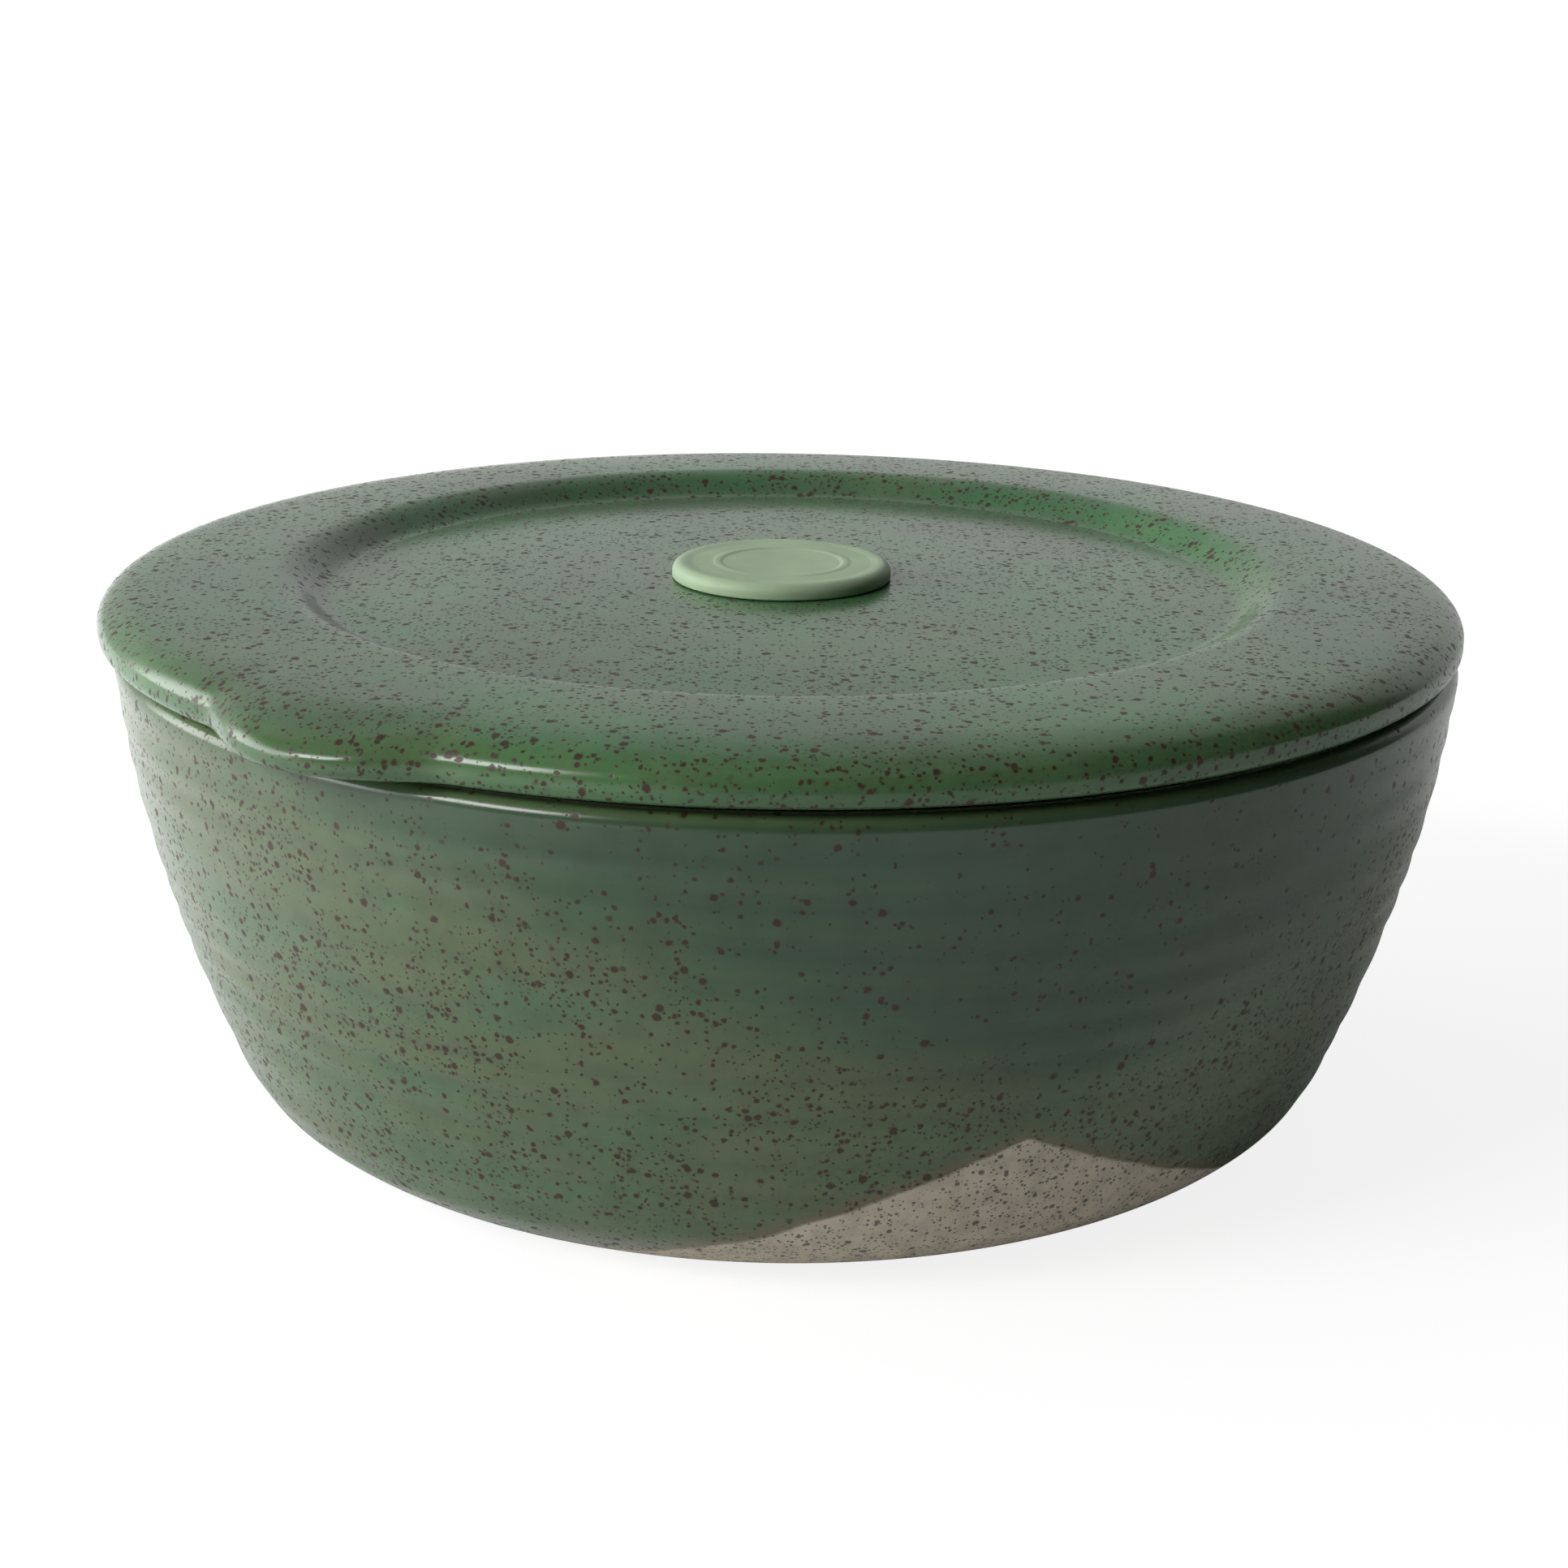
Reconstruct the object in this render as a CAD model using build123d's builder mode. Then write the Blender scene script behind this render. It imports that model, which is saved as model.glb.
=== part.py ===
"""Lidded stoneware bowl: bowl, lid with thumb tab, silicone seal ring and silicone vent plug.

Units are millimetres. The bowl stands on z = 0, its axis is +Z, and -Y faces the user.
"""

import os

from build123d import *

# Lid: a thick rounded edge, a brim that rises to a crest, and a sunk, slightly crowned middle
LID_RADIUS = 90.0
LID_EDGE_THICKNESS = 5.8
LID_UNDERSIDE = 67.1
LID_TOP = LID_UNDERSIDE + LID_EDGE_THICKNESS
LID_FLOOR_THICKNESS = 5.2
EDGE_TOP_ROUND = 4.0
EDGE_BOTTOM_ROUND = 1.7
SHOULDER_RADIUS = LID_RADIUS - EDGE_TOP_ROUND
BRIM_MIDDLE = (77.0, 74.0)
CREST_RADIUS = 65.2
CREST_HEIGHT = 74.35
CREST_ROUND = 6.0
RECESS_RADIUS = 61.0
RECESS_HEIGHT = 70.7
RECESS_ROUND = 4.0
CROWN_HEIGHT = 73.0

# Thumb tab on the lid's edge
TAB_ANGLE = -126.5
TAB_REACH = 95.6
TAB_ROUND = 21.0
TAB_BLEND = 9.0

# Spigot ring under the lid, which carries the seal in a groove
SPIGOT_RADIUS = 81.5
SPIGOT_INNER_RADIUS = 76.0
SPIGOT_END = 58.0
SPIGOT_ROUND = 1.0
GROOVE_RADIUS = 80.0
GROOVE_END = 59.5
SEAT_RADIUS = 85.8
SEAT_HEIGHT = 67.9

# Bowl: outside and inside of the wall as (radius, height), and a foot ring
RIM_RADIUS = 89.1
RIM_HEIGHT = 66.5
MOUTH_RADIUS = 84.5
RIM_ROUND = 2.0
OUTER_WALL = [(62.0, 2.5), (71.0, 7.0), (77.3, 19.0), (82.8, 35.0), (86.4, 49.0)]
INNER_WALL = [(0.0, 8.0), (45.0, 8.4), (61.5, 11.4), (71.4, 19.0), (78.0, 35.0), (81.8, 49.0)]
UNDERSIDE_HEIGHT = 2.5
FOOT_RADIUS = 56.0
FOOT_INNER_RADIUS = 50.0
FOOT_ROUND = 1.2

# Seal ring: a flange on the rim and a band with two soft fins inside the mouth
SEAL_GAP = 0.1
SEAL_BAND_RADIUS = 82.0
SEAL_FIN_REACH = 83.3
SEAL_FIN_HEIGHTS = (61.4, 64.2)
SEAL_FIN_THICKNESS = 0.9

# Vent: a hole in the middle of the lid, and the soft plug that covers it
VENT_RADIUS = 5.0
VENT_ROUND = 0.8
PLUG_RADIUS = 14.6
PLUG_BASE = 73.05
PLUG_TOP = 75.0
PLUG_BEVEL = 0.7
PLUG_STEP_RADIUS = 12.6
PLUG_FACE = 74.55
PLUG_BEAD_RADIUS = 8.7
PLUG_BEAD_ROUND = 0.6
PLUG_HOLLOW_RADIUS = 12.4
PLUG_HOLLOW_TOP = 73.6
STEM_RADIUS = 4.95
VENT_TRAVEL = 4.0
BULB_GAP = 0.2
BULB_RADIUS = 6.8
BULB_THICKNESS = 1.6
BULB_TIP_RADIUS = 4.0
BULB_LENGTH = 4.6
STEAM_SLOT_COUNT = 3
STEAM_SLOT_WIDTH = 1.4
STEAM_SLOT_DEPTH = 1.1

SELECT_TOLERANCE = 0.01

os.makedirs("parts", exist_ok=True)


def at(radius, height):
    """Selects the vertex of a turned section that lies at this radius and height."""
    return lambda vertex: (vertex.center() - Vector(radius, height)).length < SELECT_TOLERANCE


# Bowl: one turned wall that thickens towards the foot ring
with BuildPart() as bowl:
    with BuildSketch(Plane.XZ):
        with BuildLine():
            Spline(INNER_WALL + [(MOUTH_RADIUS, RIM_HEIGHT)], tangents=[(1, 0), (0.12, 1)])
            Line((MOUTH_RADIUS, RIM_HEIGHT), (RIM_RADIUS, RIM_HEIGHT))
            Spline(OUTER_WALL + [(RIM_RADIUS, RIM_HEIGHT)], tangents=[(1, 0.12), (0.15, 1)])
            Polyline(
                OUTER_WALL[0],
                (FOOT_RADIUS, UNDERSIDE_HEIGHT),
                (FOOT_RADIUS, 0),
                (FOOT_INNER_RADIUS, 0),
                (FOOT_INNER_RADIUS, UNDERSIDE_HEIGHT),
                (0, UNDERSIDE_HEIGHT),
                INNER_WALL[0],
            )
        make_face()
    revolve(axis=Axis.Z)
    fillet(bowl.edges().group_by(Axis.Z)[-1], RIM_ROUND)
    fillet(bowl.edges().group_by(Axis.Z)[0], FOOT_ROUND)
bowl.part.label = "bowl"

# Lid: the edge plate carries the tab, and a turned section makes all the rest
vent_end = CROWN_HEIGHT - LID_FLOOR_THICKNESS
tab_tip = Vector(TAB_REACH, 0, LID_TOP).rotate(Axis.Z, TAB_ANGLE)
with BuildPart() as lid:
    with BuildSketch(Plane.XY.offset(LID_UNDERSIDE)):
        Circle(LID_RADIUS)
        with PolarLocations(TAB_REACH - TAB_ROUND, 1, start_angle=TAB_ANGLE):
            Circle(TAB_ROUND)
    extrude(amount=LID_EDGE_THICKNESS)
    fillet(lid.edges().filter_by(Axis.Z).sort_by_distance(tab_tip)[:2], TAB_BLEND)
    fillet(lid.edges().group_by(Axis.Z)[-1], EDGE_TOP_ROUND)
    fillet(lid.edges().group_by(Axis.Z)[0], EDGE_BOTTOM_ROUND)
    with BuildSketch(Plane.XZ):
        Rectangle(SHOULDER_RADIUS, LID_TOP, align=(Align.MIN, Align.MIN))
    revolve(axis=Axis.Z, mode=Mode.SUBTRACT)
    with BuildSketch(Plane.XZ) as section:
        with BuildLine():
            Line((SHOULDER_RADIUS, LID_UNDERSIDE), (SHOULDER_RADIUS, LID_TOP))
            ThreePointArc((SHOULDER_RADIUS, LID_TOP), BRIM_MIDDLE, (CREST_RADIUS, CREST_HEIGHT))
            Line((CREST_RADIUS, CREST_HEIGHT), (RECESS_RADIUS, RECESS_HEIGHT))
            TangentArc((VENT_RADIUS, CROWN_HEIGHT), (RECESS_RADIUS, RECESS_HEIGHT), tangent=(1, 0))
            Line((VENT_RADIUS, CROWN_HEIGHT), (VENT_RADIUS, vent_end))
            TangentArc(
                (VENT_RADIUS, vent_end),
                (RECESS_RADIUS, RECESS_HEIGHT - LID_FLOOR_THICKNESS),
                tangent=(1, 0),
            )
            Polyline(
                (RECESS_RADIUS, RECESS_HEIGHT - LID_FLOOR_THICKNESS),
                (CREST_RADIUS, CREST_HEIGHT - LID_EDGE_THICKNESS),
                (SPIGOT_INNER_RADIUS, CREST_HEIGHT - LID_EDGE_THICKNESS),
                (SPIGOT_INNER_RADIUS, SPIGOT_END),
                (SPIGOT_RADIUS, SPIGOT_END),
                (SPIGOT_RADIUS, GROOVE_END),
                (GROOVE_RADIUS, GROOVE_END),
                (GROOVE_RADIUS, SEAT_HEIGHT),
                (SEAT_RADIUS, SEAT_HEIGHT),
                (SEAT_RADIUS, LID_UNDERSIDE),
                (SHOULDER_RADIUS, LID_UNDERSIDE),
            )
        make_face()
        fillet(section.vertices().filter_by(at(CREST_RADIUS, CREST_HEIGHT)), CREST_ROUND)
        fillet(section.vertices().filter_by(at(RECESS_RADIUS, RECESS_HEIGHT)), RECESS_ROUND)
        fillet(section.vertices().filter_by(at(SPIGOT_INNER_RADIUS, SPIGOT_END)), SPIGOT_ROUND)
        fillet(section.vertices().filter_by(at(VENT_RADIUS, CROWN_HEIGHT)), VENT_ROUND)
        fillet(section.vertices().filter_by(at(VENT_RADIUS, vent_end)), VENT_ROUND)
    revolve(axis=Axis.Z)
lid.part.label = "lid"

# Seal ring: a band in the lid's groove, a flange between lid and rim, and two fins
with BuildPart() as seal_ring:
    with BuildSketch(Plane.XZ):
        with BuildLine():
            Polyline(
                (GROOVE_RADIUS + SEAL_GAP, GROOVE_END + SEAL_GAP),
                (SEAL_BAND_RADIUS, GROOVE_END + SEAL_GAP),
                (SEAL_BAND_RADIUS, RIM_HEIGHT + SEAL_GAP),
                (SEAT_RADIUS - SEAL_GAP, RIM_HEIGHT + SEAL_GAP),
                (SEAT_RADIUS - SEAL_GAP, SEAT_HEIGHT - SEAL_GAP),
                (GROOVE_RADIUS + SEAL_GAP, SEAT_HEIGHT - SEAL_GAP),
                close=True,
            )
        make_face()
        for height in SEAL_FIN_HEIGHTS:
            with BuildLine():
                Polyline(
                    (SEAL_BAND_RADIUS, height - SEAL_FIN_THICKNESS),
                    (SEAL_FIN_REACH, height),
                    (SEAL_BAND_RADIUS, height + SEAL_FIN_THICKNESS),
                    close=True,
                )
            make_face()
    revolve(axis=Axis.Z)
seal_ring.part.label = "seal_ring"

# Vent plug: a cap with a raised bead, a slotted stem and a bulb that stops it pulling out
bulb_top = vent_end - VENT_TRAVEL - BULB_GAP
bulb_shoulder = bulb_top - BULB_THICKNESS
bulb_end = bulb_top - BULB_LENGTH
with BuildPart() as vent_plug:
    with BuildSketch(Plane.XZ) as plug_section:
        with BuildLine():
            Polyline(
                (0, bulb_end),
                (BULB_TIP_RADIUS, bulb_end),
                (BULB_RADIUS, bulb_shoulder),
                (BULB_RADIUS, bulb_top),
                (STEM_RADIUS, bulb_top),
                (STEM_RADIUS, PLUG_HOLLOW_TOP),
                (PLUG_HOLLOW_RADIUS, PLUG_HOLLOW_TOP),
                (PLUG_HOLLOW_RADIUS, PLUG_BASE),
                (PLUG_RADIUS, PLUG_BASE),
                (PLUG_RADIUS, PLUG_TOP),
                (PLUG_STEP_RADIUS, PLUG_TOP),
                (PLUG_STEP_RADIUS, PLUG_FACE),
                (0, PLUG_FACE),
                close=True,
            )
        make_face()
        fillet(plug_section.vertices().filter_by(at(PLUG_RADIUS, PLUG_TOP)), PLUG_BEVEL)
        with Locations((PLUG_BEAD_RADIUS, PLUG_FACE)):
            Circle(PLUG_BEAD_ROUND)
    revolve(axis=Axis.Z)
    slot_height = PLUG_HOLLOW_TOP - bulb_end
    with Locations(Plane.XY.offset(bulb_end)):
        with PolarLocations(STEM_RADIUS, STEAM_SLOT_COUNT):
            Box(
                2 * STEAM_SLOT_DEPTH,
                STEAM_SLOT_WIDTH,
                slot_height,
                align=(Align.CENTER, Align.CENTER, Align.MIN),
                mode=Mode.SUBTRACT,
            )
vent_plug.part.label = "vent_plug"

for piece in (bowl, lid, seal_ring, vent_plug):
    export_step(piece.part, f"parts/{piece.part.label}.step")
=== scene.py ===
"""Looks of the lidded stoneware bowl: turned glazed ceramic, silicone seal and vent plug.

All outlines are (radius, height) in millimetres above the table, in the CAD frame: +Z is the
bowl's axis and -Y faces the user. Meshes, lights and camera are in metres.
"""

import math

import bpy
from mathutils import Matrix, Vector, noise


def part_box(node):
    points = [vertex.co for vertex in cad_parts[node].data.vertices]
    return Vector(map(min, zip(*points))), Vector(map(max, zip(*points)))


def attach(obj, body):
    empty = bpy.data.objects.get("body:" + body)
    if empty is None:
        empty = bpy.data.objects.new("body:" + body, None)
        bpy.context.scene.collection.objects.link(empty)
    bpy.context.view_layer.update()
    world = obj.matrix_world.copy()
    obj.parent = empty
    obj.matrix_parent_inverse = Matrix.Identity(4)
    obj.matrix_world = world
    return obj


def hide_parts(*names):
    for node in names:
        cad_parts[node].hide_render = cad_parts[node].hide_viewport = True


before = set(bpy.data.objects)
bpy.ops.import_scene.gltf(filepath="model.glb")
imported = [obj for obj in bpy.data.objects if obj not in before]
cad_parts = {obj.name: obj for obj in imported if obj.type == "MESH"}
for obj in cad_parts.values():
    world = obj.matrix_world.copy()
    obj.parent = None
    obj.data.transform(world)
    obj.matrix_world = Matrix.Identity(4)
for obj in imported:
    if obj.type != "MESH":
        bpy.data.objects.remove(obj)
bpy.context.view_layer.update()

MM = 0.001
TAU = 2 * math.pi
ON_AXIS = 1e-6

# Heights and radii that the CAD nodes give, in millimetres
BOWL_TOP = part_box("bowl")[1][2] / MM
LID_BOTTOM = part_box("lid")[0][2] / MM
LID_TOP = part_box("lid")[1][2] / MM
LID_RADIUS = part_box("lid")[1][0] / MM
SEAL_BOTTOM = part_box("seal_ring")[0][2] / MM
SEAL_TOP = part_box("seal_ring")[1][2] / MM
SEAL_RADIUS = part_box("seal_ring")[1][0] / MM
PLUG_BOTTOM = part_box("vent_plug")[0][2] / MM
PLUG_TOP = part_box("vent_plug")[1][2] / MM
PLUG_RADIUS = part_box("vent_plug")[1][0] / MM

# Lid: its edge, a crest round the sunk middle, and the spigot below with a groove for the seal
CREST_RADIUS = 65.2
EDGE_THICKNESS = 5.5
EDGE_TOP = LID_TOP - 1.48
EDGE_BOTTOM = EDGE_TOP - EDGE_THICKNESS
EDGE_MIDDLE = (EDGE_TOP + EDGE_BOTTOM) / 2
EDGE_BOTTOM_ROUND = 1.5
VENT_RADIUS = 5.0
MIDDLE_RADIUS = 61.0
MIDDLE_EDGE = LID_TOP - 3.05
MIDDLE_CROWN = LID_TOP - 1.38
MIDDLE_THICKNESS = EDGE_THICKNESS - 0.6
SPIGOT_INNER = 76.0
SPIGOT_OUTER = 81.5
GROOVE_RADIUS = 80.0
GROOVE_BOTTOM = SEAL_BOTTOM - 0.1
SEAT_RADIUS = 85.8
SEAT_HEIGHT = EDGE_BOTTOM + 0.8

# The brim falls away from the crest to the edge: (radius, drop below the lid's top)
BRIM = [(70.0, 0.1), (78.0, 0.4), (84.0, 0.93), (87.3, 1.7), (89.3, 3.05), (LID_RADIUS, 4.7)]

# In use the bowl stands a little off the lid's axis, by part of the seal's play
BOWL_SHIFT = 0.78

# Thumb tab: a round tongue at the lid's front left, blended into the edge
TAB_ANGLE = math.radians(-126.5)
TAB_REACH = 95.6
TAB_ROUND = 21.0
TAB_BLEND = 0.9
TAB_THINNING = 0.22

# Radii between which the lid is drawn out into the tab, above and below its edge's middle, and
# the radius from which it gets thinner
TAB_ROOT_ABOVE = 74.0
TAB_ROOT_BELOW = 86.0
TAB_FULL = 87.0
TAB_THIN_FROM = 80.0

# The two dips that glaze the bowl, each as height = base + slope_x * x + slope_y * y
DIP_LEFT = (21.97, 0.418, 0.159)
DIP_RIGHT = (27.14, -0.44, -0.118)

# Throwing rings on the bowl's outside
RING_PITCH = 5.7
RING_DEPTH = 0.13
RING_DRIFT = 0.55

# Seal: a band in the groove with two lips that touch the bowl, and a flange on the bowl's rim
SEAL_INNER = 80.1
BAND_RADIUS = 82.0
LIP_RADIUS = 83.3
LIP_HEIGHTS = (61.4, 64.2)
LIP_HALF_WIDTH = 0.9
FLANGE_BOTTOM = BOWL_TOP + 0.1

# Vent plug: a cap that is hollow below, a stem with three steam slots, and a bulb that holds it
PLUG_BASE = PLUG_TOP - 2.1
CAP_FACE = PLUG_TOP - 0.1
CAP_HOLLOW_RADIUS = 12.4
CAP_HOLLOW_TOP = PLUG_BASE + 0.55
BEAD_HEIGHT = 0.09
STEM_RADIUS = 4.95
BULB_RADIUS = 6.8
BULB_TOP = PLUG_BOTTOM + 4.6
SLOT_COUNT = 3
SLOT_BOTTOM = 3.85
SLOT_REACH = 7.0


# ---------------------------------------------------------------- outlines and turned meshes


def smooth_curve(points, first, last, step):
    """Points along a smooth curve through the given ones, with end directions first and last."""
    knots = [Vector(p) for p in points]
    slopes = [Vector(first).normalized()]
    for before, after in zip(knots, knots[2:]):
        slopes.append((after - before).normalized())
    slopes.append(Vector(last).normalized())
    curve = []
    for start, end, leave, arrive in zip(knots, knots[1:], slopes, slopes[1:]):
        length = (end - start).length
        count = max(2, round(length / step))
        for i in range(count):
            t = i / count
            a = (1 + 2 * t) * (1 - t) ** 2
            b = t * (1 - t) ** 2 * length
            c = t * t * (3 - 2 * t)
            d = t * t * (t - 1) * length
            curve.append(tuple(a * start + b * leave + c * end + d * arrive))
    return curve + [tuple(knots[-1])]


def rounded(corners, arc_step=0.5, run_step=2.5):
    """A closed outline from (radius, height, rounding) corners; long runs are cut into pieces."""
    outline = []
    count = len(corners)
    for i, (radius, height, rounding) in enumerate(corners):
        corner = Vector((radius, height))
        if rounding == 0:
            outline.append(corner)
            continue
        to_before = (Vector(corners[i - 1][:2]) - corner).normalized()
        to_after = (Vector(corners[(i + 1) % count][:2]) - corner).normalized()
        half = to_before.angle(to_after) / 2
        centre = corner + (to_before + to_after).normalized() * rounding / math.sin(half)
        turn = math.pi - 2 * half
        steps = max(3, round(turn * rounding / arc_step))
        start = corner + to_before * rounding / math.tan(half) - centre
        end = corner + to_after * rounding / math.tan(half) - centre
        for k in range(steps + 1):
            t = k / steps
            spoke = (start * math.sin((1 - t) * turn) + end * math.sin(t * turn)) / math.sin(turn)
            outline.append(centre + spoke)
    filled = []
    for i, point in enumerate(outline):
        following = outline[(i + 1) % len(outline)]
        pieces = max(1, math.ceil((following - point).length / run_step))
        if point.x < ON_AXIS and following.x < ON_AXIS:
            pieces = 1
        for k in range(pieces):
            filled.append(tuple(point.lerp(following, k / pieces)))
    return filled


def turned(name, outline, segments, warp=None, values=None, shift=0.0):
    """A closed turned mesh, shifted along X. warp(angle, radius, height) moves a point, and values
    names vertex attributes, each worked out by a function of (angle, radius, height)."""
    vertices = []
    faces = []
    spots = []
    rings = []
    for radius, height in outline:
        if radius < ON_AXIS:
            rings.append([len(vertices)] * segments)
            spots.append((0.0, 0.0, height))
            vertices.append((shift * MM, 0.0, height * MM))
            continue
        rings.append(list(range(len(vertices), len(vertices) + segments)))
        for k in range(segments):
            angle = TAU * k / segments
            spots.append((angle, radius, height))
            r, z = warp(angle, radius, height) if warp else (radius, height)
            vertices.append(((r * math.cos(angle) + shift) * MM, r * math.sin(angle) * MM, z * MM))
    for i, ring in enumerate(rings):
        above = rings[(i + 1) % len(rings)]
        if ring[0] == ring[1] and above[0] == above[1]:
            continue
        for k in range(segments):
            j = (k + 1) % segments
            face = [ring[k], ring[j], above[j], above[k]]
            faces.append(list(dict.fromkeys(face)))
    mesh = bpy.data.meshes.new(name)
    mesh.from_pydata(vertices, [], faces)
    mesh.validate()
    for label, value in (values or {}).items():
        layer = mesh.attributes.new(label, "FLOAT", "POINT")
        layer.data.foreach_set("value", [value(*spot) for spot in spots])
    mesh.shade_smooth()
    piece = bpy.data.objects.new(name, mesh)
    bpy.context.scene.collection.objects.link(piece)
    return piece


def blend_step(low, high, value):
    """0 below low, 1 above high, and smooth between."""
    t = min(1.0, max(0.0, (value - low) / (high - low)))
    return t * t * (3 - 2 * t)


# ---------------------------------------------------------------- bowl


# Points of the wall's two faces, and of a line between them that tells the faces apart
OUTER_WALL = [(58.0, 0.0), (71.0, 7.0), (77.3, 19.0), (82.8, 35.0), (86.4, 49.0), (88.6, 63.0)]
INNER_WALL = [(0.0, 8.0), (45.0, 8.4), (61.5, 11.4), (71.4, 19.0), (78.0, 35.0), (81.8, 49.0), (84.3, 63.5)]
WALL_MIDDLE = [
    (54.0, 0.0), (60.0, 8.0), (67.5, 11.4), (74.3, 19.0), (80.4, 35.0), (84.1, 49.0), (86.8, 66.5),
]
RIM_INNER = 84.5
RIM_OUTER = 89.1
RIM_ROUND = 1.9
FOOT_INNER_RADIUS = 50.0
FOOT_HEIGHT = 2.5


def ring_phase(angle, height):
    """Turns along the potter's spiral groove at a point of the wall."""
    drift = noise.noise(Vector((math.cos(angle), math.sin(angle), height / 16.0)))
    return height / RING_PITCH + angle / TAU + RING_DRIFT * drift


def ring_relief(angle, height):
    """Height of the throwing rings, from about -1 in a valley to 1 on a crest, uneven in strength."""
    spot = Vector((2 * math.cos(angle), 2 * math.sin(angle), height / 11.0))
    strength = 0.75 + 0.5 * noise.noise(spot)
    return strength * math.cos(TAU * ring_phase(angle, height))


def is_outside(radius, height):
    """Whether a point of the bowl's outline lies on the outer wall."""
    for (low_radius, low), (high_radius, high) in zip(WALL_MIDDLE, WALL_MIDDLE[1:]):
        if height <= high:
            share = (height - low) / (high - low)
            return radius > low_radius + share * (high_radius - low_radius)
    return radius > WALL_MIDDLE[-1][0]


def ring_cover(radius, height):
    """Where the throwing rings show: full on the outer wall, none at its rim and foot."""
    if not is_outside(radius, height):
        return 0.0
    return blend_step(4.0, 9.0, height) * (1 - blend_step(BOWL_TOP - 5.0, BOWL_TOP - 2.5, height))


def warp_bowl(angle, radius, height):
    """Presses the throwing rings into the outer wall."""
    return radius + RING_DEPTH * ring_cover(radius, height) * ring_relief(angle, height), height


def build_bowl():
    inner = [(r, z, 0) for r, z in smooth_curve(INNER_WALL, (1, 0), (0.12, 1), step=1.5)]
    outer = [(r, z, 0) for r, z in smooth_curve(OUTER_WALL, (1, 0.3), (0.14, 1), step=0.5)]
    rim = [(RIM_INNER, BOWL_TOP, RIM_ROUND), (RIM_OUTER, BOWL_TOP, RIM_ROUND)]
    foot = [
        (FOOT_INNER_RADIUS, 0.0, 1.2),
        (FOOT_INNER_RADIUS, FOOT_HEIGHT, 0.6),
        (0.0, FOOT_HEIGHT, 0),
    ]
    outline = rounded(inner + rim + outer[::-1] + foot)
    values = {
        "relief": lambda a, r, z: ring_cover(r, z) * ring_relief(a, z),
        "edge": lambda a, r, z: blend_step(BOWL_TOP - 1.5, BOWL_TOP - 0.4, z),
        "inside": lambda a, r, z: float(z > FOOT_HEIGHT and not is_outside(r, z)),
    }
    return turned("bowl_body", outline, segments=320, warp=warp_bowl, values=values, shift=BOWL_SHIFT)


# ---------------------------------------------------------------- lid


def lid_reach(angle):
    """Radius of the lid's edge at an angle, with the thumb tab blended in."""
    away = math.remainder(angle - TAB_ANGLE, TAU)
    middle = TAB_REACH - TAB_ROUND
    under_root = TAB_ROUND**2 - (middle * math.sin(away)) ** 2
    if abs(away) > math.pi / 2 or under_root < 0:
        tab = 0.0
    else:
        tab = middle * math.cos(away) + math.sqrt(under_root)
    gap = max(0.0, TAB_BLEND * 4 - abs(tab - LID_RADIUS)) / (TAB_BLEND * 4)
    return max(tab, LID_RADIUS) + gap * gap * TAB_BLEND


def warp_lid(angle, radius, height):
    """Draws the edge out into the tab, which is a little thinner than the edge."""
    root = TAB_ROOT_ABOVE if height > EDGE_MIDDLE else TAB_ROOT_BELOW
    share = blend_step(root, TAB_FULL, radius)
    reach = lid_reach(angle) - LID_RADIUS
    thinner = TAB_THINNING * reach / (TAB_REACH - LID_RADIUS)
    thinner *= blend_step(TAB_THIN_FROM, LID_RADIUS, radius)
    return radius + share * reach, height - thinner * max(0.0, height - EDGE_BOTTOM)


def edge_cover(radius, height):
    """Where the glaze breaks: on the upper half of the lid's edge."""
    return blend_step(84.0, 88.0, radius) * blend_step(EDGE_MIDDLE - 1.5, EDGE_MIDDLE + 1.0, height)


def build_lid():
    under_crown = MIDDLE_CROWN - MIDDLE_THICKNESS
    under_crest = LID_TOP - EDGE_THICKNESS
    top = [(VENT_RADIUS, MIDDLE_CROWN, 0.8)]
    bottom = [(VENT_RADIUS, under_crown, 0.8)]
    for share in (0.25, 0.5, 0.75):
        radius = VENT_RADIUS + share * (MIDDLE_RADIUS - VENT_RADIUS)
        drop = share * share * (MIDDLE_CROWN - MIDDLE_EDGE)
        top.append((radius, MIDDLE_CROWN - drop, 0))
        bottom.append((radius, under_crown - drop, 0))
    top += [(MIDDLE_RADIUS, MIDDLE_EDGE, 4.0), (CREST_RADIUS, LID_TOP, 7.0)]
    brim = [(radius, LID_TOP - drop) for radius, drop in BRIM]
    top += [(r, z, 0) for r, z in smooth_curve(brim, (1, -0.01), (0, -1), step=0.5)[:-1]]
    top.append((LID_RADIUS, EDGE_BOTTOM, EDGE_BOTTOM_ROUND))
    bottom += [
        (MIDDLE_RADIUS, MIDDLE_EDGE - MIDDLE_THICKNESS, 0.8),
        (CREST_RADIUS, under_crest, 0.8),
        (SPIGOT_INNER, under_crest, 1.0),
        (SPIGOT_INNER, LID_BOTTOM, 1.0),
        (SPIGOT_OUTER, LID_BOTTOM, 0.5),
        (SPIGOT_OUTER, GROOVE_BOTTOM, 0.3),
        (GROOVE_RADIUS, GROOVE_BOTTOM, 0.2),
        (GROOVE_RADIUS, SEAT_HEIGHT, 0.2),
        (SEAT_RADIUS, SEAT_HEIGHT, 0.2),
        (SEAT_RADIUS, EDGE_BOTTOM, 0.2),
    ]
    outline = rounded(top + bottom[::-1])
    values = {
        "edge": lambda a, r, z: edge_cover(r, z),
        "bare": lambda a, r, z: 1 - blend_step(LID_BOTTOM + 0.4, LID_BOTTOM + 1.2, z),
    }
    return turned("lid_disc", outline, segments=480, warp=warp_lid, values=values)


# ---------------------------------------------------------------- silicone pieces


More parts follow.
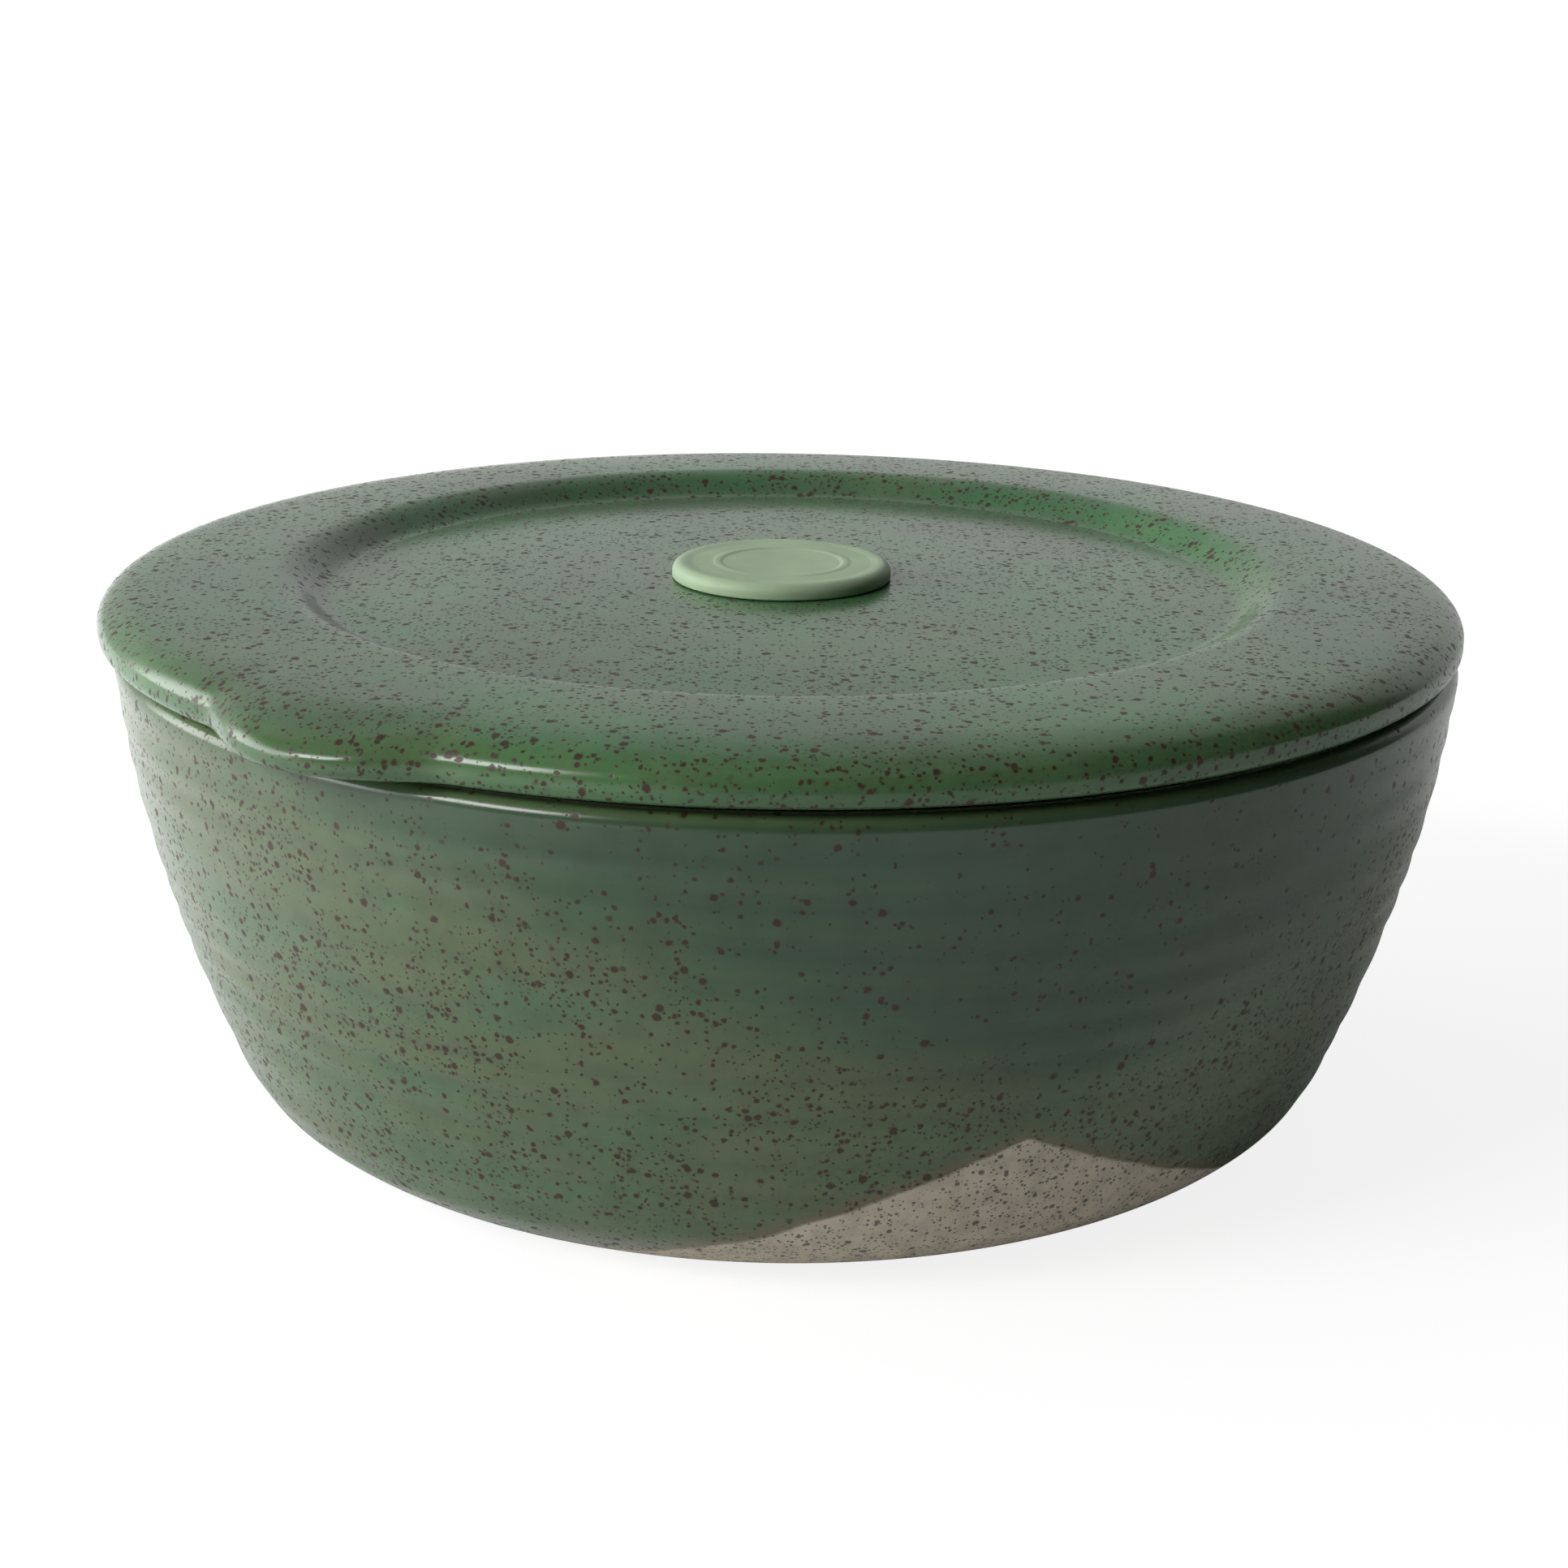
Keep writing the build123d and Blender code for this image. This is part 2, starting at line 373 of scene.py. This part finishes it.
def build_seal():
    corners = [(SEAL_INNER, SEAL_BOTTOM, 0.2), (BAND_RADIUS, SEAL_BOTTOM, 0.4)]
    for height in LIP_HEIGHTS:
        corners += [
            (BAND_RADIUS, height - LIP_HALF_WIDTH, 0.2),
            (LIP_RADIUS, height, 0.25),
            (BAND_RADIUS, height + LIP_HALF_WIDTH, 0.2),
        ]
    corners += [
        (BAND_RADIUS, FLANGE_BOTTOM, 0.3),
        (SEAL_RADIUS, FLANGE_BOTTOM, 0.3),
        (SEAL_RADIUS, SEAL_TOP, 0.3),
        (SEAL_INNER, SEAL_TOP, 0.2),
    ]
    return turned("seal_gasket", rounded(corners, arc_step=0.15), segments=240)


def warp_plug(angle, radius, height):
    """Cuts the steam slots along the stem and bulb."""
    if height > PLUG_BASE or not SLOT_BOTTOM < radius <= SLOT_REACH:
        return radius, height
    around = math.remainder(angle, TAU / SLOT_COUNT)
    slot = 1 - blend_step(0.5, 0.9, abs(around) * radius)
    return radius + slot * (SLOT_BOTTOM - radius), height


def build_plug():
    bulb = [
        (0.0, PLUG_BOTTOM, 0),
        (4.0, PLUG_BOTTOM, 0.6),
        (BULB_RADIUS, BULB_TOP - 1.6, 0.6),
        (BULB_RADIUS, BULB_TOP, 0.4),
        (STEM_RADIUS, BULB_TOP, 0.2),
    ]
    cap = [
        (STEM_RADIUS, CAP_HOLLOW_TOP, 0.3),
        (CAP_HOLLOW_RADIUS, CAP_HOLLOW_TOP, 0.3),
        (CAP_HOLLOW_RADIUS, PLUG_BASE, 0.2),
        (PLUG_RADIUS, PLUG_BASE, 0.25),
        (PLUG_RADIUS, PLUG_TOP, 1.3),
        (12.9, PLUG_TOP, 1.5),
        (11.9, CAP_FACE, 1.5),
    ]
    bead = [
        (9.3, CAP_FACE, 0.8),
        (8.8, CAP_FACE + BEAD_HEIGHT, 0.5),
        (8.3, CAP_FACE + BEAD_HEIGHT, 0.5),
        (7.8, CAP_FACE - 0.05, 0.8),
        (0.0, CAP_FACE - 0.15, 0),
    ]
    outline = rounded(bulb + cap + bead, arc_step=0.12, run_step=0.8)
    return turned("plug_button", outline, segments=160, warp=warp_plug)


# ---------------------------------------------------------------- materials


class Nodes:
    """A node tree, with short calls for the nodes that all the recipes use."""

    def __init__(self, tree, coordinates):
        self.nodes = tree.nodes
        self.links = tree.links
        self.place = self.nodes.new("ShaderNodeTexCoord").outputs[coordinates]

    def put(self, socket, value):
        """Feeds a socket from another node's output, or sets it to a plain value."""
        if isinstance(value, bpy.types.NodeSocket):
            self.links.new(value, socket)
        elif isinstance(value, tuple) and len(value) == 3 and socket.type == "RGBA":
            socket.default_value = (*value, 1.0)
        else:
            socket.default_value = value

    def math(self, operation, *values, clamp=False):
        node = self.nodes.new("ShaderNodeMath")
        node.operation = operation
        node.use_clamp = clamp
        for socket, value in zip(node.inputs, values):
            self.put(socket, value)
        return node.outputs[0]

    def ramp(self, value, low, high, to_low=0.0, to_high=1.0):
        """Smoothly maps low..high to to_low..to_high."""
        node = self.nodes.new("ShaderNodeMapRange")
        node.interpolation_type = "SMOOTHSTEP"
        for socket, given in zip(node.inputs, (value, low, high, to_low, to_high)):
            self.put(socket, given)
        return node.outputs[0]

    def mix_value(self, share, first, second):
        """The first value at share 0, the second at 1."""
        node = self.nodes.new("ShaderNodeMix")
        for socket, given in zip(node.inputs[:1] + node.inputs[2:4], (share, first, second)):
            self.put(socket, given)
        return node.outputs[0]

    def mix(self, share, first, second, blend="MIX"):
        """The first colour at share 0, the second at 1."""
        node = self.nodes.new("ShaderNodeMix")
        node.data_type = "RGBA"
        node.blend_type = blend
        self.put(node.inputs[0], share)
        self.put(node.inputs[6], first)
        self.put(node.inputs[7], second)
        return node.outputs[2]

    def axis(self, name):
        """One of the coordinates X, Y and Z."""
        node = self.nodes.new("ShaderNodeSeparateXYZ")
        self.put(node.inputs[0], self.place)
        return node.outputs[name]


class Recipe(Nodes):
    """A material's nodes, with the textures that the recipes use."""

    def __init__(self, name):
        self.material = bpy.data.materials.new(name)
        self.material.use_nodes = True
        super().__init__(self.material.node_tree, "Object")
        self.shader = self.nodes["Principled BSDF"]

    def value(self, attribute):
        """A vertex attribute of the piece, as turned() names it."""
        node = self.nodes.new("ShaderNodeAttribute")
        node.attribute_name = attribute
        return node.outputs["Fac"]

    def stretch(self, x, y, z):
        """The object coordinates, scaled along each axis."""
        node = self.nodes.new("ShaderNodeMapping")
        self.put(node.inputs["Vector"], self.place)
        self.put(node.inputs["Scale"], (x, y, z))
        return node.outputs[0]

    def noise_node(self, size, detail, where=None):
        """A noise texture with features of this size in millimetres."""
        node = self.nodes.new("ShaderNodeTexNoise")
        self.put(node.inputs["Vector"], where or self.place)
        self.put(node.inputs["Scale"], 1 / (size * MM))
        self.put(node.inputs["Detail"], detail)
        return node

    def cloud(self, size, detail=2.0, where=None):
        """Noise of this feature size in millimetres, about 0.2 to 0.8."""
        return self.noise_node(size, detail, where).outputs[0]

    def wobbled(self, size, amount):
        """The object coordinates, pushed about by noise by this amount in millimetres."""
        push = self.nodes.new("ShaderNodeVectorMath")
        push.operation = "MULTIPLY_ADD"
        self.put(push.inputs[0], self.noise_node(size, 1.0).outputs["Color"])
        push.inputs[1].default_value = (2 * amount * MM,) * 3
        self.put(push.inputs[2], self.place)
        return push.outputs[0]

    def specks(self, cell, smallest, largest, chance, where):
        """Mask of specks, at most one in each cell of a random grid; sizes in millimetres."""
        grid = self.nodes.new("ShaderNodeTexVoronoi")
        self.put(grid.inputs["Vector"], where)
        self.put(grid.inputs["Scale"], 1 / (cell * MM))
        pick = self.nodes.new("ShaderNodeSeparateColor")
        self.put(pick.inputs[0], grid.outputs["Color"])
        size = self.math("POWER", pick.outputs[1], SPECK_RARITY)
        radius = self.math("MULTIPLY_ADD", size, (largest - smallest) / cell, smallest / cell)
        shape = self.math("DIVIDE", grid.outputs["Distance"], radius)
        dot = self.ramp(shape, SPECK_FADES, SPECK_FULL)
        there = self.math("LESS_THAN", pick.outputs[0], chance)
        return self.math("MULTIPLY", dot, there)

    def bump(self, height, distance, strength, under=None):
        """Relief from a height mask, distance in millimetres deep, on top of the relief under it."""
        node = self.nodes.new("ShaderNodeBump")
        self.put(node.inputs["Height"], height)
        self.put(node.inputs["Distance"], distance * MM)
        self.put(node.inputs["Strength"], strength)
        if under:
            self.put(node.inputs["Normal"], under)
        return node.outputs[0]

    def finish(self, **sockets):
        """Sets inputs of the shader, with _ for the spaces in their names."""
        for name, value in sockets.items():
            self.put(self.shader.inputs[name.replace("_", " ")], value)
        return self.material


# Colours, as linear red, green and blue
GREEN = (0.074, 0.126, 0.066)
LID_GREEN = (0.055, 0.160, 0.061)
OLIVE = (0.092, 0.126, 0.064)
TEAL = (0.026, 0.062, 0.037)
BREAK = (0.110, 0.165, 0.060)
THIN_GLAZE = (0.150, 0.120, 0.065)
IRON = (0.034, 0.013, 0.004)
CLAY = (0.56, 0.50, 0.40)
CLAY_SHADE = (0.45, 0.40, 0.32)
CLAY_SPECK = (0.045, 0.050, 0.058)
SEAL_COLOUR = (0.45, 0.50, 0.40)
PLUG_COLOUR = (0.33, 0.44, 0.285)
DUST = (0.05, 0.05, 0.04)

GLAZE_IOR = 1.5
SILICONE_IOR = 1.42
GLAZE_ROUGHNESS = 0.2
SPECK_ROUGHNESS = 0.5
CLAY_ROUGHNESS = 0.85

# Specks: a higher rarity makes large ones rarer, and a speck fades out between two shares of its
# radius. Each size is (grid cell, smallest radius, largest radius) in millimetres and a chance.
SPECK_RARITY = 1.6
SPECK_FULL = 0.65
SPECK_FADES = 1.25
IRON_SPECKS = [(0.7, 0.10, 0.23, 0.9), (1.0, 0.16, 0.38, 0.95), (1.7, 0.26, 0.62, 0.8)]
CLAY_GRIT = [(0.55, 0.09, 0.25, 0.85), (1.2, 0.15, 0.45, 0.7)]

# How wide the edge of a dip is, and how far it wavers, in millimetres
DIP_EDGE = 0.35
DIP_WAVER = 0.6


def specks_of(recipe, sizes, plenty, where):
    """Mask of specks of several sizes; plenty from 0 to 1 says how many there are."""
    mask = 0.0
    for cell, smallest, largest, chance in sizes:
        likely = recipe.math("MULTIPLY", plenty, chance)
        layer = recipe.specks(cell, smallest, largest, likely, where)
        mask = recipe.math("MAXIMUM", mask, layer)
    return mask


def iron_specks(recipe, double_coat, fewest):
    """The glaze's iron specks, which crowd in places and are fewer under a double coat."""
    plenty = recipe.math("MULTIPLY_ADD", double_coat, -0.75, 1.0)
    crowd = recipe.ramp(recipe.cloud(14.0), 0.3, 0.65, fewest, 1.0)
    where = recipe.wobbled(0.7, 0.24)
    return specks_of(recipe, IRON_SPECKS, recipe.math("MULTIPLY", plenty, crowd), where)


def with_specks(recipe, colour, specks):
    return recipe.mix(recipe.math("MULTIPLY", specks, 0.95), colour, IRON)


def glaze_roughness(recipe, specks):
    return recipe.mix_value(specks, GLAZE_ROUGHNESS, SPECK_ROUGHNESS)


def clay_colour(recipe):
    """Bare clay, darker in clouds."""
    return recipe.mix(recipe.ramp(recipe.cloud(3.0, 4.0), 0.35, 0.7), CLAY, CLAY_SHADE)


def glaze_colour(recipe, base, patches, pooling, breaking, double_coat):
    """Green reactive glaze: olive in patches, teal where it pools or is dipped twice, and paler
    where it breaks over an edge or a ridge."""
    patch = recipe.cloud(22.0, 2.0, recipe.stretch(1.0, 1.0, 2.2))
    mottle = recipe.cloud(4.0, 3.0)
    colour = recipe.mix(recipe.ramp(patch, 0.35, 0.62, 0.0, patches), base, OLIVE)
    wet = recipe.math("ADD", double_coat, pooling, clamp=True)
    colour = recipe.mix(wet, colour, TEAL)
    colour = recipe.mix(breaking, colour, BREAK)
    shade = recipe.ramp(mottle, 0.3, 0.7, 0.93, 1.07)
    tint = recipe.nodes.new("ShaderNodeCombineColor")
    for socket in tint.inputs[:3]:
        recipe.put(socket, shade)
    return recipe.mix(1.0, colour, tint.outputs[0], "MULTIPLY")


def above_dip(recipe, dip):
    """A mask, 1 above a slanting dip line on the bowl and 0 below it, and the height above the
    line, which is slightly uneven."""
    base, slope_x, slope_y = dip
    height = recipe.math("SUBTRACT", recipe.axis("Z"), base * MM)
    height = recipe.math("SUBTRACT", height, recipe.math("MULTIPLY", recipe.axis("X"), slope_x))
    height = recipe.math("SUBTRACT", height, recipe.math("MULTIPLY", recipe.axis("Y"), slope_y))
    waver = recipe.math("MULTIPLY_ADD", recipe.cloud(7.0), 2 * DIP_WAVER * MM, -DIP_WAVER * MM)
    height = recipe.math("ADD", height, waver)
    return recipe.ramp(height, -DIP_EDGE * MM, DIP_EDGE * MM), height


def glaze_bump(recipe, specks):
    """Fine orange peel, a slow waviness and slightly sunk specks."""
    wave = recipe.bump(recipe.cloud(9.0, 1.0), distance=0.12, strength=0.35)
    peel = recipe.bump(recipe.cloud(1.1), distance=0.02, strength=0.35, under=wave)
    sunk = recipe.math("MULTIPLY", specks, -1.0)
    return recipe.bump(sunk, distance=0.02, strength=0.3, under=peel)


def make_bowl_glaze():
    """Glaze above the two dip lines, thin and brown near them, and bare speckled clay below."""
    recipe = Recipe("bowl_glaze")
    left, left_height = above_dip(recipe, DIP_LEFT)
    right, right_height = above_dip(recipe, DIP_RIGHT)
    inside = recipe.value("inside")
    cover = recipe.math("MAXIMUM", recipe.math("MAXIMUM", left, right), inside)
    soft_left = recipe.ramp(left_height, -2.0 * MM, 12.0 * MM)
    soft_right = recipe.ramp(right_height, -6.0 * MM, 16.0 * MM)
    double = recipe.math("MULTIPLY", soft_left, soft_right)

    relief = recipe.value("relief")
    pooling = recipe.ramp(relief, -0.2, -1.0, 0.0, 0.12)
    ridges = recipe.ramp(relief, 0.3, 1.1, 0.0, 0.25)
    breaking = recipe.math("MAXIMUM", ridges, recipe.value("edge"))
    breaking = recipe.math("MULTIPLY", breaking, 0.5)
    double_coat = recipe.math("MULTIPLY", double, 0.75)
    glaze = glaze_colour(recipe, GREEN, 1.0, pooling, breaking, double_coat)
    higher = recipe.math("MAXIMUM", left_height, right_height)
    thin = recipe.ramp(higher, 2.8 * MM, 0.2 * MM, 0.0, 0.7)
    thin = recipe.math("SUBTRACT", thin, inside, clamp=True)
    glaze = recipe.mix(thin, glaze, THIN_GLAZE)
    specks = iron_specks(recipe, double, fewest=0.35)
    glaze = with_specks(recipe, glaze, specks)

    grit = specks_of(recipe, CLAY_GRIT, 1.0, recipe.wobbled(0.5, 0.12))
    clay = recipe.mix(recipe.math("MULTIPLY", grit, 0.8), clay_colour(recipe), CLAY_SPECK)
    bare = recipe.math("SUBTRACT", 1.0, cover)
    grain = recipe.math("MULTIPLY", recipe.cloud(0.4, 3.0), bare)
    normal = recipe.bump(cover, distance=0.25, strength=0.8, under=glaze_bump(recipe, specks))
    normal = recipe.bump(grain, distance=0.08, strength=0.6, under=normal)
    rough = recipe.mix_value(cover, CLAY_ROUGHNESS, glaze_roughness(recipe, specks))
    colour = recipe.mix(cover, clay, glaze)
    return recipe.finish(Base_Color=colour, Roughness=rough, Normal=normal, IOR=GLAZE_IOR)


def make_lid_glaze():
    """The same glaze all over, apart from bare clay at the foot of the spigot."""
    recipe = Recipe("lid_glaze")
    double = recipe.ramp(recipe.cloud(40.0, 1.0), 0.4, 0.6, 0.0, 0.3)
    breaking = recipe.math("MULTIPLY", recipe.value("edge"), 0.25)
    glaze = glaze_colour(recipe, LID_GREEN, 0.5, 0.0, breaking, double)
    specks = iron_specks(recipe, 0.0, fewest=0.5)
    glaze = with_specks(recipe, glaze, specks)
    bare = recipe.value("bare")
    colour = recipe.mix(bare, glaze, clay_colour(recipe))
    rough = recipe.mix_value(bare, glaze_roughness(recipe, specks), CLAY_ROUGHNESS)
    normal = glaze_bump(recipe, specks)
    return recipe.finish(Base_Color=colour, Roughness=rough, Normal=normal, IOR=GLAZE_IOR)


def make_silicone(name, colour, dust):
    """Matte silicone with a faint bloom and specks of dust; dust is their chance."""
    recipe = Recipe(name)
    bloom = recipe.ramp(recipe.cloud(6.0, 3.0), 0.3, 0.7)
    pale = tuple(1.12 * c for c in colour)
    tone = recipe.mix(bloom, colour, pale)
    dots = recipe.specks(2.4, 0.04, 0.13, dust, recipe.place)
    tone = recipe.mix(recipe.math("MULTIPLY", dots, 0.8), tone, DUST)
    rough = recipe.ramp(recipe.cloud(1.5), 0.3, 0.7, 0.5, 0.62)
    grain = recipe.bump(recipe.cloud(0.25), distance=0.015, strength=0.5)
    recipe.finish(Base_Color=tone, Roughness=rough, Normal=grain, IOR=SILICONE_IOR)
    return recipe.finish(Subsurface_Weight=0.15, Subsurface_Scale=0.002)


# The floor: nearly white paper to the camera. To light and reflections it has a painted glow of
# window light at the left and painted shade of a dark room in front; each change runs between two
# places in metres.
PAPER = (0.9, 0.9, 0.9)
PAPER_SHADE = (0.88, 0.88, 0.88)
SEEN_PAPER = (0.25, 0.25, 0.25)
SEEN_GLOW = 0.85
LEFT_GLOW = 0.65
LEFT_GLOW_X = (-0.05, -0.18)
PAINTED_ROOM_SHADE = (0.04, 0.04, 0.04)
PAINTED_ROOM_SHADE_Y = (-0.34, -0.48)


def make_floor():
    """Pale paper that glows to the camera, so that its shadows are faint; to light and reflections it has a
    painted glow of window light at the left and painted shade in front.
    """
    recipe = Recipe("studio_paper")
    tone = recipe.ramp(recipe.cloud(60.0), 0.3, 0.7)
    colour = recipe.mix(tone, PAPER_SHADE, PAPER)
    # Painted shade: to all but the camera the paper goes dark in front, standing for a dark room there
    colour = recipe.mix(recipe.ramp(recipe.axis("Y"), *PAINTED_ROOM_SHADE_Y), colour, PAINTED_ROOM_SHADE)
    seen = recipe.nodes.new("ShaderNodeLightPath").outputs["Is Camera Ray"]
    colour = recipe.mix(seen, colour, SEEN_PAPER)
    # Painted light: to all but the camera the floor glows at the left, a painted pool of the window's light
    glow = recipe.ramp(recipe.axis("X"), *LEFT_GLOW_X, 0.0, LEFT_GLOW)
    glow = recipe.mix_value(seen, glow, SEEN_GLOW)
    recipe.finish(Emission_Color=(1.0, 1.0, 1.0), Emission_Strength=glow)
    return recipe.finish(Base_Color=colour, Roughness=1.0, Specular_IOR_Level=0.0)


# ---------------------------------------------------------------- assembly


def dress(piece, node, body, material):
    """Gives a piece its material and body, in place of its plain CAD node."""
    piece.data.materials.append(material)
    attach(piece, body)
    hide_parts(node)


dress(build_bowl(), "bowl", "bowl", make_bowl_glaze())
dress(build_lid(), "lid", "lid", make_lid_glaze())
seal_silicone = make_silicone("seal_silicone", SEAL_COLOUR, dust=0.1)
dress(build_seal(), "seal_ring", "seal", seal_silicone)
plug_silicone = make_silicone("plug_silicone", PLUG_COLOUR, dust=0.15)
dress(build_plug(), "vent_plug", "vent", plug_silicone)


# ---------------------------------------------------------------- studio


def build_floor():
    """A large pale sheet under the bowl."""
    reach = 6.0
    corners = [(-reach, -reach, 0), (reach, -reach, 0), (reach, reach, 0), (-reach, reach, 0)]
    mesh = bpy.data.meshes.new("studio_floor")
    mesh.from_pydata(corners, [], [(0, 1, 2, 3)])
    mesh.materials.append(make_floor())
    floor = bpy.data.objects.new("studio_floor", mesh)
    bpy.context.scene.collection.objects.link(floor)


# Panels of light around the bowl, as (azimuth, half width, lowest, highest, soft edge) in degrees
# and brightness. Azimuth 0 is behind the bowl, along +Y, and -90 is at its left.
LIGHT_PANELS = [
    (-124, 17, 23, 40, 2, 13.0),
    (-84, 30, -2, 30, 8, 5.5),
    (0, 55, -5, 27, 10, 0.62),
    (0, 50, 27, 60, 12, 0.45),
    (0, 180, 62, 95, 6, 0.25),
]
DIM_LIGHT = 0.015
SEEN_LIGHT = 1.0

# The camera's place in millimetres, its lens and sensor in millimetres and its turns in degrees
CAMERA_PLACE = (0.05, -440.0, 174.5)
CAMERA_YAW = 0.088
CAMERA_PITCH = 16.516
CAMERA_ROLL = 0.7734
LENS = 77.35
SENSOR_WIDTH = 36.0


def build_world():
    """A window at the left and a pale wall behind, in a dim room; the camera sees plain white."""
    world = bpy.data.worlds.new("studio")
    world.use_nodes = True
    bpy.context.scene.world = world
    sky = Nodes(world.node_tree, "Generated")
    to_degrees = math.degrees(1)
    azimuth = sky.math("MULTIPLY", sky.math("ARCTAN2", sky.axis("X"), sky.axis("Y")), to_degrees)
    elevation = sky.math("MULTIPLY", sky.math("ARCSINE", sky.axis("Z")), to_degrees)
    glow = DIM_LIGHT
    for middle, half_width, low, high, soft, brightness in LIGHT_PANELS:
        away = sky.math("SUBTRACT", azimuth, middle)
        away = sky.math("ABSOLUTE", sky.math("WRAP", away, 180.0, -180.0))
        panel = sky.ramp(away, half_width + soft, half_width - soft, 0.0, brightness)
        panel = sky.math("MULTIPLY", panel, sky.ramp(elevation, low - soft, low + soft))
        panel = sky.math("MULTIPLY", panel, sky.ramp(elevation, high + soft, high - soft))
        glow = sky.math("ADD", glow, panel)
    seen = sky.nodes.new("ShaderNodeLightPath").outputs["Is Camera Ray"]
    strength = sky.mix_value(seen, glow, SEEN_LIGHT)
    sky.put(sky.nodes["Background"].inputs["Strength"], strength)
    sky.put(sky.nodes["Background"].inputs["Color"], (1.0, 1.0, 1.0))


def build_camera():
    """A camera in front of the bowl and above it, looking down at it."""
    yaw = math.radians(CAMERA_YAW)
    pitch = math.radians(CAMERA_PITCH)
    roll = math.radians(CAMERA_ROLL)
    level = Vector((math.sin(yaw), math.cos(yaw), 0))
    ahead = level * math.cos(pitch) - Vector((0, 0, math.sin(pitch)))
    side = Vector((math.cos(yaw), -math.sin(yaw), 0))
    up = side.cross(ahead)
    right = side * math.cos(roll) + up * math.sin(roll)
    above = up * math.cos(roll) - side * math.sin(roll)
    data = bpy.data.cameras.new("camera")
    data.sensor_width = SENSOR_WIDTH
    data.lens = LENS
    camera = bpy.data.objects.new("camera", data)
    turn = Matrix((right, above, -ahead)).transposed().to_4x4()
    place = Vector(CAMERA_PLACE) * MM
    camera.matrix_world = Matrix.Translation(place) @ turn
    bpy.context.scene.collection.objects.link(camera)
    bpy.context.scene.camera = camera


build_floor()
build_world()
build_camera()
bpy.context.scene.view_settings.view_transform = "Standard"
